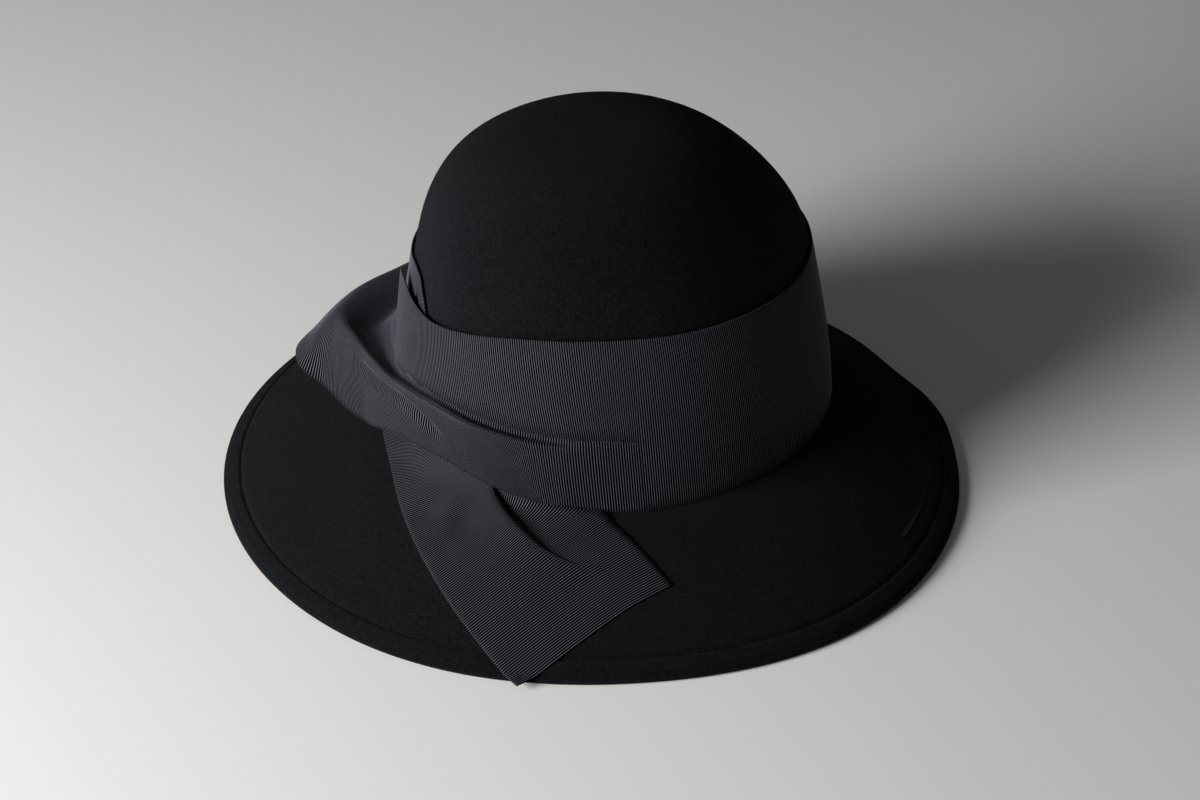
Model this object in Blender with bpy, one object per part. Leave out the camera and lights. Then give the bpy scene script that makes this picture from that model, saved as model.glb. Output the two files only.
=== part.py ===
"""Wide-brimmed felt hat with a broad ribbed ribbon, standing on its brim.

Metres, +Z up, the front of the hat towards -Y and the wearer's left at +X. Angles go round the crown
from the front (0) through the wearer's left (90) and the back (180). The floor is at z = 0, and the
origin is at the middle of the hat's outline on that floor.
"""

import math

import bpy
import numpy as np

# Felt body
HEAD_LENGTH = 0.189
HEAD_WIDTH = 0.1735
FELT = 0.0022
CROWN_HEIGHT = 0.1315
CROWN_TOP_FULLNESS = 2.3
CROWN_SIDE_FULLNESS = 3.2
CROWN_LEAN_FRONT = 0.012
CROWN_LEAN_SIDE = 0.003
BRIM_LENGTH = 0.319
BRIM_WIDTH = 0.3266
BRIM_FORWARD = 0.0167
BRIM_DROP = 0.032
BRIM_BELL = 1.35
HEM_WIDTH = 0.009
HEM_THICKNESS = 0.0036
HEM_FLAT = 0.0022
HEM_ROUND = 0.0008

# Ribbon
RIBBON_WIDTH = 0.077
RIBBON = 0.001
CLEARANCE = 0.0006
BAND_SEAM = 52.0
BAND_SEAM_GAP = 0.4
BAND_INNER_END = 340.0
TAIL_PLEAT_HEIGHT = 0.005

# Where a ribbon's middle lies off the crown's wall, as a share of its width: on the felt, or over one layer
ON_FELT = (CLEARANCE + RIBBON / 2) / RIBBON_WIDTH
ON_RIBBON = (2 * CLEARANCE + RIBBON * 3 / 2) / RIBBON_WIDTH

# Soft unevenness of the crown: (name, angle, share of the crown's height, spread in degrees, spread as a
# share of the height, depth as a share of the head's width, outwards positive)
CROWN_DENTS = (
    ("left_waist", -50, 0.52, 42, 0.26, -0.028),
    ("left_shoulder", -50, 0.90, 60, 0.16, 0.012),
    ("right_shoulder", 135, 0.68, 50, 0.18, 0.028),
)

# Unevenness of the brim's outline: (name, angle, spread in degrees, reach as a share of the brim's length)
BRIM_WAVES = (
    ("front_left", 47, 26, -0.018),
    ("back_bulge", 146, 10, 0.007),
    ("back_corner", 160, 9, -0.006),
)

# The band's free left part lies over the drape. Lengths are shares of the ribbon's width:
# (angle, top_out, foot_out, foot_up, top_up)
BAND_FLAP = (
    (-31, 0.060, 0.082, 0.460, 0.985),
    (-22, 0.058, 0.080, 0.500, 0.960),
    (-12, 0.046, 0.066, 0.530, 0.930),
    (-4, 0.038, 0.058, 0.540, 0.915),
    (4, 0.036, 0.053, 0.540, 0.945),
    (14, ON_RIBBON, 0.050, 0.525, 0.990),
    (24, ON_RIBBON, 0.046, 0.505, 1.020),
    (34, ON_RIBBON, 0.042, 0.485, 1.030),
    (42, ON_RIBBON, 0.038, 0.466, 1.030),
    (47, 0.028, 0.028, 0.450, 1.025),
    (52, ON_FELT, ON_FELT, 0.430, 1.020),
)

# Height of the band's top edge round the rest of the crown: (angle, top_up)
BAND_TOP = (
    (52, 1.020),
    (75, 1.000),
    (110, 0.985),
    (180, 0.985),
    (270, 0.985),
    (340, 0.985),
)

# Cross-sections of the drape, as shares of the ribbon's width. "out" is the distance from the crown's
# wall and "up" the height above the join of crown and brim:
# (angle, top_out, top_up, valley_out, valley_up, crest_out, crest_up, hem_out, hem_up)
DRAPE_SECTIONS = (
    (-172, ON_RIBBON, 0.990, ON_RIBBON, 0.650, ON_RIBBON, 0.320, ON_RIBBON, 0.010),
    (-150, ON_RIBBON, 0.985, 0.045, 0.650, 0.058, 0.350, 0.078, 0.010),
    (-130, ON_RIBBON, 0.935, 0.078, 0.585, 0.136, 0.364, 0.208, -0.020),
    (-112, ON_RIBBON, 0.805, 0.117, 0.468, 0.221, 0.364, 0.390, -0.065),
    (-95, ON_RIBBON, 0.520, 0.140, 0.330, 0.260, 0.350, 0.571, -0.104),
    (-80, ON_RIBBON, 0.370, 0.165, 0.260, 0.300, 0.350, 0.740, -0.143),
    (-68, ON_RIBBON, 0.325, 0.200, 0.235, 0.355, 0.350, 0.818, -0.143),
    (-58, ON_RIBBON, 0.330, 0.205, 0.240, 0.380, 0.360, 0.701, -0.090),
    (-50, ON_RIBBON, 0.364, 0.200, 0.260, 0.360, 0.375, 0.494, -0.071),
    (-42, ON_RIBBON, 0.430, 0.175, 0.299, 0.325, 0.409, 0.351, -0.058),
    (-32, ON_RIBBON, 0.480, 0.117, 0.338, 0.234, 0.425, 0.214, -0.013),
    (-22, ON_RIBBON, 0.688, 0.057, 0.455, 0.143, 0.490, 0.156, 0.090),
    (-12, ON_RIBBON, 0.780, 0.039, 0.497, 0.127, 0.494, 0.117, 0.162),
    (0, ON_FELT, 0.740, 0.032, 0.506, 0.119, 0.487, 0.078, 0.175),
    (12, ON_FELT, 0.690, 0.028, 0.494, 0.109, 0.465, 0.065, 0.130),
    (22, ON_FELT, 0.640, 0.025, 0.471, 0.091, 0.430, 0.051, 0.080),
    (32, ON_FELT, 0.590, 0.020, 0.449, 0.065, 0.396, 0.030, 0.035),
    (42, ON_FELT, 0.510, 0.015, 0.420, 0.034, 0.338, ON_FELT, 0.010),
    (47, ON_FELT, 0.430, 0.0145, 0.380, 0.020, 0.280, ON_FELT, 0.008),
    (51.6, ON_FELT, 0.415, ON_FELT, 0.360, ON_FELT, 0.200, ON_FELT, 0.008),
)

# The tail's root runs round the crown under the drape: (share across, angle, out as a share of the width)
TAIL_ROOT = (
    (0.00, -32, 0.110),
    (0.25, -14, 0.040),
    (0.55, 10, 0.028),
    (0.80, 30, 0.028),
    (1.00, 41, 0.036),
)
TAIL_TIP_LEFT = (31.3, 0.998)
TAIL_TIP_RIGHT = (54.5, 0.478)
# The tail's left edge bows forward: (share along, bow as a share of the width)
TAIL_BOW = (
    (0.00, 0.000),
    (0.15, 0.080),
    (0.35, 0.125),
    (0.60, 0.095),
    (0.80, 0.050),
    (1.00, 0.000),
)
# The pleat of the tail: (share along, share across, height as a share of the pleat's own)
TAIL_PLEAT = (
    (0.00, 0.50, 0.70),
    (0.25, 0.56, 1.00),
    (0.50, 0.66, 0.80),
    (0.72, 0.78, 0.30),
    (1.00, 0.90, 0.00),
)

# Mesh density
FELT_COLUMNS = 72
CROWN_ROWS = 12
BRIM_SHARES = (0.12, 0.26, 0.40, 0.54, 0.68, 0.80)
BAND_STEP = 4.5
FLAP_STEP = 3.8
FLAP_ROWS = 4
FOOT_ROWS = 2
DRAPE_STEP = 4.4
DRAPE_ROWS = (3, 3, 4)
TAIL_COLUMNS = 18
TAIL_ROWS = 12

OUTER_LENGTH = HEAD_LENGTH / 2 + FELT
OUTER_WIDTH = HEAD_WIDTH / 2 + FELT


def read_column(table, column, at, key=0):
    """Smooth reading of one column of a table at the key values 'at', with no overshoot between rows.

    A cubic runs between neighbouring rows; its slope at a row is the harmonic mean of the slopes on
    the two sides, or zero where they differ in sign.
    """
    x = np.array([row[key] for row in table], float)
    y = np.array([row[column] for row in table], float)
    step = np.diff(x)
    rise = np.diff(y) / step
    slope = np.zeros(len(x))
    same = rise[:-1] * rise[1:] > 0
    weight_a = 2 * step[1:] + step[:-1]
    weight_b = step[1:] + 2 * step[:-1]
    safe_a = np.where(same, rise[:-1], 1.0)
    safe_b = np.where(same, rise[1:], 1.0)
    mean = (weight_a + weight_b) / (weight_a / safe_a + weight_b / safe_b)
    slope[1:-1] = np.where(same, mean, 0.0)
    slope[0] = rise[0]
    slope[-1] = rise[-1]
    at = np.clip(np.asarray(at, float), x[0], x[-1])
    i = np.clip(np.searchsorted(x, at, side="right") - 1, 0, len(step) - 1)
    h = step[i]
    t = (at - x[i]) / h
    return (
        y[i] * (1 + 2 * t) * (1 - t) ** 2
        + slope[i] * h * t * (1 - t) ** 2
        + y[i + 1] * t * t * (3 - 2 * t)
        + slope[i + 1] * h * t * t * (t - 1)
    )


def turn_apart(angle, centre):
    """Degrees from centre to angle, the short way round."""
    return (np.asarray(angle) - centre + 180.0) % 360.0 - 180.0


def crown_share(height_share):
    """Reach of the crown at a share of its height, as a share of its reach at the join."""
    h = np.clip(height_share, 0.0, 1.0)
    return np.maximum(1.0 - h**CROWN_TOP_FULLNESS, 0.0) ** (1.0 / CROWN_SIDE_FULLNESS)


def crown_radius(angle, up, length=OUTER_LENGTH, width=OUTER_WIDTH, height=CROWN_HEIGHT):
    """Distance of the crown's wall from its axis: an oval that shrinks upwards, with its dents."""
    a = np.radians(angle)
    h = np.clip(np.asarray(up, float) / height, 0.0, 1.0)
    oval = 1.0 / np.sqrt((np.cos(a) / length) ** 2 + (np.sin(a) / width) ** 2)
    radius = oval * crown_share(h)
    for _, centre, at, spread, tall, depth in CROWN_DENTS:
        bell = np.exp(-((turn_apart(angle, centre) / spread) ** 2) - ((h - at) / tall) ** 2)
        radius = radius + depth * HEAD_WIDTH * bell * crown_share(h)
    return radius


def brim_radius(angle):
    """Distance of the brim's edge from the crown's axis: an oval set forward, with its waves."""
    a = np.radians(angle)
    side = np.sin(a)
    back = -np.cos(a)
    half_width = BRIM_WIDTH / 2
    half_length = BRIM_LENGTH / 2
    square = (side / half_width) ** 2 + (back / half_length) ** 2
    cross = back * BRIM_FORWARD / half_length**2
    rest = (BRIM_FORWARD / half_length) ** 2 - 1.0
    radius = (-cross + np.sqrt(cross**2 - square * rest)) / square
    for _, centre, spread, reach in BRIM_WAVES:
        radius = radius + reach * BRIM_LENGTH * np.exp(-((turn_apart(angle, centre) / spread) ** 2))
    return radius


def outline_middle():
    """Middle of the brim's outline in plan, with the crown's axis at zero."""
    angle = np.linspace(0.0, 360.0, FELT_COLUMNS, endpoint=False)
    a = np.radians(angle)
    radius = brim_radius(angle)
    x = radius * np.sin(a)
    y = -radius * np.cos(a)
    return (x.max() + x.min()) / 2, (y.max() + y.min()) / 2


MIDDLE_X, MIDDLE_Y = outline_middle()


def place(angle, radius, up):
    """World points of polar coordinates round the crown's axis, which leans with the crown's height."""
    a = np.radians(angle)
    share = np.maximum(up, 0.0) / CROWN_HEIGHT
    x = radius * np.sin(a) - CROWN_LEAN_SIDE * share - MIDDLE_X
    y = -radius * np.cos(a) - CROWN_LEAN_FRONT * share - MIDDLE_Y
    return np.stack(np.broadcast_arrays(x, y, BRIM_DROP + up), axis=-1)


def off_wall(angle, out, up):
    """World points at a distance out from the crown's wall and a height up above the join."""
    return place(angle, crown_radius(angle, np.maximum(up, 0.0)) + out, up)


def brim_up(angle, out):
    """Height of the brim's upper face above the join, at a distance out from the crown's wall."""
    foot = crown_radius(angle, 0.0)
    q = np.clip(out / (brim_radius(angle) - foot), 0.0, 1.0)
    return -(BRIM_DROP - HEM_THICKNESS) * q**BRIM_BELL


def new_object(name, points, faces, colour, roughness):
    mesh = bpy.data.meshes.new(name)
    mesh.from_pydata([tuple(map(float, p)) for p in points], [], [tuple(map(int, f)) for f in faces])
    mesh.update()
    mesh.shade_smooth()
    mesh.set_sharp_from_angle(angle=math.radians(40))
    material = bpy.data.materials.new(name)
    material.use_nodes = True
    shader = material.node_tree.nodes["Principled BSDF"]
    shader.inputs["Base Color"].default_value = (*colour, 1.0)
    shader.inputs["Roughness"].default_value = roughness
    shader.inputs["Metallic"].default_value = 0.0
    mesh.materials.append(material)
    obj = bpy.data.objects.new(name, mesh)
    bpy.context.scene.collection.objects.link(obj)
    return obj


def felt_rings():
    """Rings of (radius, height above the join) of the felt's skin, from the crown's top out and back in."""
    angle = np.linspace(0.0, 360.0, FELT_COLUMNS, endpoint=False)
    steps = np.linspace(1.0, 0.0, CROWN_ROWS + 1)[1:] * math.pi / 2
    climb = np.sin(steps) ** (2.0 / CROWN_TOP_FULLNESS)
    foot = crown_radius(angle, 0.0)
    edge = brim_radius(angle)
    reach = edge - foot
    floor = -BRIM_DROP
    rings = []
    for share in climb:
        up = share * CROWN_HEIGHT
        rings.append((crown_radius(angle, up), np.full(FELT_COLUMNS, up)))
    for share in (*BRIM_SHARES, 1.0):
        last = share == 1.0
        radius = edge - HEM_ROUND if last else foot + share * reach
        rings.append((radius, brim_up(angle, radius - foot)))
    rings.append((edge, np.full(FELT_COLUMNS, floor + HEM_THICKNESS / 2)))
    rings.append((edge - HEM_ROUND, np.full(FELT_COLUMNS, floor)))
    rings.append((edge - HEM_ROUND - HEM_FLAT, np.full(FELT_COLUMNS, floor)))
    turned = edge - HEM_WIDTH
    rings.append((turned, brim_up(angle, turned - foot) - HEM_THICKNESS))
    rings.append((turned - FELT / 2, brim_up(angle, turned - FELT / 2 - foot) - FELT))
    inner_foot = crown_radius(angle, 0.0, OUTER_LENGTH - FELT, OUTER_WIDTH - FELT)
    for share in BRIM_SHARES[-2::-1]:
        radius = foot + share * reach
        rings.append((radius, brim_up(angle, radius - foot) - FELT))
    inner_height = CROWN_HEIGHT - FELT
    for share in (0.0, *climb[-2::-1]):
        up = share * inner_height
        shape = (OUTER_LENGTH - FELT, OUTER_WIDTH - FELT, inner_height)
        radius = crown_radius(angle, up, *shape) if share else inner_foot
        height = up if share else -FELT / 2
        rings.append((radius, np.full(FELT_COLUMNS, height)))
    return angle, rings


def build_felt():
    """Crown and brim in one closed skin: rings joined in order, and a fan over each pole."""
    angle, rings = felt_rings()
    points = [place(0.0, 0.0, CROWN_HEIGHT)[None]]
    for radius, up in rings:
        points.append(place(angle, radius, up))
    points.append(place(0.0, 0.0, CROWN_HEIGHT - FELT)[None])
    points = np.concatenate(points)
    n = FELT_COLUMNS
    faces = []
    for j in range(n):
        faces.append((0, 1 + j, 1 + (j + 1) % n))
    for ring in range(len(rings) - 1):
        start = 1 + ring * n
        for j in range(n):
            k = (j + 1) % n
            faces.append((start + j, start + n + j, start + n + k, start + k))
    last = 1 + (len(rings) - 1) * n
    for j in range(n):
        faces.append((last + j, len(points) - 1, last + (j + 1) % n))
    return new_object("felt_body", points, faces, (0.012, 0.014, 0.017), 0.95)


def grid_normals(grid, outward):
    """Unit normals of a grid of points, turned to the side that 'outward' points to."""
    along = np.gradient(grid, axis=1)
    across = np.gradient(grid, axis=0)
    normal = np.cross(along, across)
    normal /= np.linalg.norm(normal, axis=-1, keepdims=True)
    side = np.sign((normal * outward).sum(-1, keepdims=True))
    return normal * np.where(side == 0, 1.0, side)


def build_sheet(name, grid, outward, kept, colour, roughness):
    """A ribbon of even thickness about a grid of middle points; only the cells in 'kept' are built."""
    rows, columns = grid.shape[:2]
    normal = grid_normals(grid, outward)
    front = (grid + normal * RIBBON / 2).reshape(-1, 3)
    back = (grid - normal * RIBBON / 2).reshape(-1, 3)
    count = rows * columns
    faces = []
    rim = {}
    for r in range(rows - 1):
        for c in range(columns - 1):
            if not kept[r, c]:
                continue
            ring = [r * columns + c, r * columns + c + 1, (r + 1) * columns + c + 1, (r + 1) * columns + c]
            faces.append(tuple(ring))
            faces.append(tuple(i + count for i in reversed(ring)))
            for a, b in zip(ring, ring[1:] + ring[:1]):
                if (b, a) in rim:
                    del rim[(b, a)]
                else:
                    rim[(a, b)] = True
    for a, b in rim:
        faces.append((a, a + count, b + count, b))
    points = np.concatenate([front, back])
    first = faces[0]
    facing = np.cross(points[first[1]] - points[first[0]], points[first[2]] - points[first[1]])
    if facing @ normal.reshape(-1, 3)[first[0]] < 0:
        faces = [tuple(reversed(face)) for face in faces]
    used = np.unique(np.concatenate([np.array(face) for face in faces]))
    renumber = np.zeros(len(points), int)
    renumber[used] = np.arange(len(used))
    faces = [tuple(renumber[list(face)]) for face in faces]
    return new_object(name, points[used], faces, colour, roughness)


def steps_between(start, end, step):
    count = max(2, round(abs(end - start) / step))
    return np.linspace(start, end, count + 1)


def build_band():
    """The band: flat on the crown from the seam round the back, and its free left part over the drape."""
    flap = steps_between(BAND_FLAP[0][0], BAND_SEAM, FLAP_STEP)
    ring = steps_between(BAND_SEAM, BAND_INNER_END, BAND_STEP)[1:]
    angle = np.concatenate([flap, ring])
    free = angle <= BAND_SEAM
    top = np.where(free, read_column(BAND_FLAP, 4, angle), read_column(BAND_TOP, 1, angle))
    mid = read_column(BAND_FLAP, 3, angle)
    top_out = np.where(free, read_column(BAND_FLAP, 1, angle), ON_FELT)
    mid_out = np.where(free, read_column(BAND_FLAP, 2, angle), ON_FELT)
    bottom = CLEARANCE / RIBBON_WIDTH
    rows = []
    for k in range(FOOT_ROWS):
        share = k / FOOT_ROWS
        rows.append((np.full(len(angle), mid_out), bottom + (mid - bottom) * share))
    for k in range(FLAP_ROWS + 1):
        share = k / FLAP_ROWS
        rows.append((mid_out + (top_out - mid_out) * share, mid + (top - mid) * share))
    grid = np.array([off_wall(angle, out * RIBBON_WIDTH, up * RIBBON_WIDTH) for out, up in rows])
    kept = np.ones((len(rows) - 1, len(angle) - 1), bool)
    kept[:FOOT_ROWS, : len(flap) - 1] = False
    outward = place(angle, 1.0, 0.0) - place(angle, 0.0, 0.0)
    return build_sheet("crown_band", grid, outward[None], kept, (0.020, 0.019, 0.022), 0.55)


def drape_curve(section, shares):
    """Points of one cross-section, at shares of the way between its four named points."""
    corners = section.reshape(4, 2)
    length = np.concatenate([[0.0], np.cumsum(np.linalg.norm(np.diff(corners, axis=0), axis=1))])
    at = np.interp(shares, np.arange(4), length)
    rows = np.column_stack([length, corners])
    return np.column_stack([read_column(rows, 1, at), read_column(rows, 2, at)])


def build_drape():
    """The drape: the ribbon's lower fold, which leaves the front, flares over the brim and comes back."""
    angle = steps_between(DRAPE_SECTIONS[0][0], BAND_SEAM - BAND_SEAM_GAP, DRAPE_STEP)
    sections = np.stack([read_column(DRAPE_SECTIONS, c, angle) for c in range(1, 9)], axis=1)
    shares = [part + k / count for part, count in enumerate(DRAPE_ROWS) for k in range(count)] + [3.0]
    curves = np.stack([drape_curve(section, shares) for section in sections], axis=1)
    out = curves[..., 0] * RIBBON_WIDTH
    up = curves[..., 1] * RIBBON_WIDTH
    grid = off_wall(angle, out, up)
    outward = place(angle, 1.0, 0.0) - place(angle, 0.0, 0.0) + np.array([0.0, 0.0, 0.6])
    kept = np.ones((len(shares) - 1, len(angle) - 1), bool)
    return build_sheet("side_drape", grid, outward[None], kept, (0.020, 0.019, 0.022), 0.55)


def in_plan(angle, out):
    """Plan position, from the crown's axis, of a point at a distance out from the crown's wall."""
    a = np.radians(angle)
    radius = crown_radius(angle, 0.0) + out
    return np.stack([radius * np.sin(a), -radius * np.cos(a)], axis=-1)


def build_tail():
    """The tail: straight runs from its root under the drape to its cut end on the brim, with one pleat."""
    across = np.linspace(0.0, 1.0, TAIL_ROWS + 1)
    along = np.linspace(0.0, 1.0, TAIL_COLUMNS + 1)
    root = in_plan(read_column(TAIL_ROOT, 1, across), read_column(TAIL_ROOT, 2, across) * RIBBON_WIDTH)
    left = in_plan(TAIL_TIP_LEFT[0], TAIL_TIP_LEFT[1] * RIBBON_WIDTH)
    right = in_plan(TAIL_TIP_RIGHT[0], TAIL_TIP_RIGHT[1] * RIBBON_WIDTH)
    tip = left + across[:, None] * (right - left)
    plan = root[:, None] + along[None, :, None] * (tip - root)[:, None]
    chord = left - root[0]
    forward = np.array([chord[1], -chord[0]]) / np.hypot(*chord)
    bow = read_column(TAIL_BOW, 1, along)[None] * (1 - across[:, None]) ** 1.5 * RIBBON_WIDTH
    plan = plan + bow[..., None] * forward
    radius = np.linalg.norm(plan, axis=-1)
    angle = np.degrees(np.arctan2(plan[..., 0], -plan[..., 1]))
    out = radius - crown_radius(angle, 0.0)
    crest = read_column(TAIL_PLEAT, 1, along)[None]
    height = read_column(TAIL_PLEAT, 2, along)[None]
    away = across[:, None] - crest
    ridge = np.where(away < 0, np.exp(-((away / 0.22) ** 2)), np.exp(-((away / 0.06) ** 2)))
    up = brim_up(angle, out) + CLEARANCE + RIBBON / 2 + TAIL_PLEAT_HEIGHT * height * ridge
    grid = place(angle, radius, up)
    kept = np.ones((TAIL_ROWS, TAIL_COLUMNS), bool)
    return build_sheet("ribbon_tail", grid, np.array([0.0, 0.0, 1.0]), kept, (0.022, 0.021, 0.024), 0.5)


def main():
    for obj in list(bpy.data.objects):
        bpy.data.objects.remove(obj, do_unlink=True)
    build_felt()
    build_band()
    build_drape()
    build_tail()


main()
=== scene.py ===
# %% [markdown]
# # A felt hat with a broad ribbon
# The hat is one piece of wool felt, blocked into a round crown and a wide bell of a brim, and trimmed with
# a deep ribbed ribbon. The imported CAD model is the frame: it says where everything is. This lesson lays a
# finely drawn skin over each CAD solid. Every skin is a function of two numbers on a grid, so a reader can
# change a size and see the whole surface follow.

import math

import bpy
import numpy as np
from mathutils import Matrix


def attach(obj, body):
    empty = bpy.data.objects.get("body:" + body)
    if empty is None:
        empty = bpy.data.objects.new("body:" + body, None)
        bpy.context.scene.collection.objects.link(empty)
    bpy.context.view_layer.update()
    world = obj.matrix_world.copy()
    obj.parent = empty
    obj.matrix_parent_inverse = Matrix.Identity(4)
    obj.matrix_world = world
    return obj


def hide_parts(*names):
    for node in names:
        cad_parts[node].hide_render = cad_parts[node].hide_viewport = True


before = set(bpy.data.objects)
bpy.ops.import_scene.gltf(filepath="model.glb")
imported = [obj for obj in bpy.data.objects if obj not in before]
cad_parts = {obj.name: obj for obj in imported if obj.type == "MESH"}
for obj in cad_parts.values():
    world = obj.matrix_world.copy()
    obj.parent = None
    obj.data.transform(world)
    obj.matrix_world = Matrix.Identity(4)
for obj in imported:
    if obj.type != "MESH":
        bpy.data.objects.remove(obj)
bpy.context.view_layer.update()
MM = 0.001
print("CAD nodes:", ", ".join(sorted(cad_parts)))

# %% [markdown]
# ## The sizes
# The skins and the CAD solids follow the same sizes. Angles go round the crown from the front (0) through
# the wearer's left (90) to the back (180). Heights are counted from the join of crown and brim.

# %% Sizes of the felt
HEAD_LENGTH = 0.189
HEAD_WIDTH = 0.1735
FELT = 0.0022
CROWN_HEIGHT = 0.1315
CROWN_TOP_FULLNESS = 2.3
CROWN_SIDE_FULLNESS = 3.2
CROWN_LEAN_FRONT = 0.012
CROWN_LEAN_SIDE = 0.003
BRIM_LENGTH = 0.319
BRIM_WIDTH = 0.3266
BRIM_FORWARD = 0.0167
BRIM_DROP = 0.032
BRIM_BELL = 1.35
HEM_WIDTH = 0.009
HEM_THICKNESS = 0.0036
OUTER_LENGTH = HEAD_LENGTH / 2 + FELT
OUTER_WIDTH = HEAD_WIDTH / 2 + FELT

# name, angle, share of the crown's height, spread in degrees, spread in height, depth as a share of width
CROWN_DENTS = (
    ("left_waist", -50, 0.52, 42, 0.26, -0.028),
    ("left_shoulder", -50, 0.90, 60, 0.16, 0.012),
    ("right_shoulder", 135, 0.68, 50, 0.18, 0.028),
)
# name, angle, spread in degrees, reach as a share of the brim's length
BRIM_WAVES = (
    ("front_left", 47, 26, -0.018),
    ("back_bulge", 146, 10, 0.007),
    ("back_corner", 160, 9, -0.006),
)

# %% Sizes of the ribbon
RIBBON_WIDTH = 0.077
CAD_RIBBON = 0.001
CAD_CLEARANCE = 0.0006
RIBBON = 0.0003
RIB_PITCH = 1.0 * MM
RIB_HEIGHT = 0.34 * MM
RIB_STEPS = 5
SCALLOP = 0.22 * MM
BAND_SEAM = 52.0
BAND_INNER_END = 340.0
BAND_TUCK_END = 374.0
ON_FELT = (CAD_CLEARANCE + CAD_RIBBON / 2) / RIBBON_WIDTH
ON_RIBBON = (2 * CAD_CLEARANCE + CAD_RIBBON * 3 / 2) / RIBBON_WIDTH

# angle, top_out, foot_out, foot_up, top_up
BAND_FLAP = (
    (-31, 0.068, 0.064, 0.400, 0.987),
    (-25, 0.057, 0.062, 0.440, 0.970),
    (-18, 0.045, 0.063, 0.492, 0.933),
    (-9, 0.036, 0.061, 0.530, 0.915),
    (-3, ON_RIBBON, 0.057, 0.538, 0.928),
    (8, ON_RIBBON, 0.052, 0.536, 0.968),
    (14, ON_RIBBON, 0.050, 0.525, 0.990),
    (24, ON_RIBBON, 0.046, 0.505, 1.020),
    (34, ON_RIBBON, 0.040, 0.484, 1.030),
    (42, 0.026, 0.029, 0.470, 1.030),
    (47, 0.021, 0.021, 0.453, 1.025),
    (52, ON_FELT, ON_FELT, 0.430, 1.020),
)
# how far the flap's ribs lean: angle, degrees between top and foot
FLAP_LEAN = (
    (-31, 7.0),
    (-20, 6.0),
    (-5, 5.0),
    (12, 4.5),
    (30, 3.0),
    (52, 0.0),
)
# angle, top_up
BAND_TOP = (
    (52, 1.020),
    (75, 1.000),
    (110, 0.985),
    (180, 0.985),
    (270, 0.985),
    (300, 1.000),
    (325, 1.040),
    (336, 1.070),
    (340.5, 1.058),
    (346, 0.968),
    (349.5, 0.890),
    (374, 0.860),
)
# angle, top_out, top_up, valley_out, valley_up, crest_out, crest_up, hem_out, hem_up
DRAPE_SECTIONS = (
    (-172, ON_RIBBON, 0.990, ON_RIBBON, 0.650, ON_RIBBON, 0.320, ON_RIBBON, 0.010),
    (-150, ON_RIBBON, 0.985, 0.045, 0.650, 0.058, 0.350, 0.078, 0.010),
    (-130, ON_RIBBON, 0.935, 0.078, 0.585, 0.136, 0.364, 0.208, -0.020),
    (-112, ON_RIBBON, 0.805, 0.117, 0.468, 0.221, 0.364, 0.390, -0.065),
    (-95, ON_RIBBON, 0.540, 0.150, 0.330, 0.300, 0.340, 0.610, -0.104),
    (-80, ON_RIBBON, 0.440, 0.160, 0.285, 0.335, 0.325, 0.770, -0.143),
    (-68, ON_RIBBON, 0.420, 0.180, 0.280, 0.400, 0.325, 0.858, -0.143),
    (-58, ON_RIBBON, 0.430, 0.190, 0.300, 0.415, 0.345, 0.735, -0.090),
    (-50, ON_RIBBON, 0.440, 0.190, 0.345, 0.355, 0.388, 0.500, -0.071),
    (-42, ON_RIBBON, 0.470, 0.140, 0.400, 0.270, 0.425, 0.351, -0.058),
    (-32, ON_RIBBON, 0.500, 0.100, 0.430, 0.190, 0.450, 0.214, -0.013),
    (-22, ON_RIBBON, 0.560, 0.080, 0.452, 0.140, 0.470, 0.156, 0.090),
    (-12, ON_RIBBON, 0.700, 0.072, 0.500, 0.118, 0.502, 0.117, 0.162),
    (0, ON_FELT, 0.740, 0.060, 0.520, 0.106, 0.520, 0.078, 0.175),
    (10, ON_FELT, 0.690, 0.048, 0.492, 0.108, 0.506, 0.065, 0.138),
    (22, ON_FELT, 0.640, 0.040, 0.468, 0.092, 0.474, 0.051, 0.080),
    (32, ON_FELT, 0.560, 0.037, 0.462, 0.064, 0.436, 0.030, 0.035),
    (38, ON_FELT, 0.510, 0.033, 0.469, 0.044, 0.405, 0.016, 0.014),
    (42, 0.018, 0.485, 0.028, 0.466, 0.033, 0.390, ON_FELT, 0.010),
    (47, 0.016, 0.462, 0.0205, 0.450, 0.0215, 0.330, ON_FELT, 0.008),
    (52, ON_FELT, 0.430, ON_FELT, 0.428, ON_FELT, 0.200, ON_FELT, 0.008),
)
# how far the ribs lean below the drape's crest: angle, degrees between crest and hem
RIB_LEAN = (
    (-172, 0.0),
    (-80, 0.0),
    (-50, 6.0),
    (-20, 11.0),
    (0, 13.0),
    (8, 10.0),
    (14, 7.0),
    (20, 3.5),
    (26, 1.0),
    (34, 0.0),
    (52, 0.0),
)


# %% [markdown]
# ## Reading a short table smoothly
# A milliner marks a few stations round the block and lets the cloth run between them. The same is done
# here: a table gives a few rows, and a cubic that never overshoots runs between them.


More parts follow.
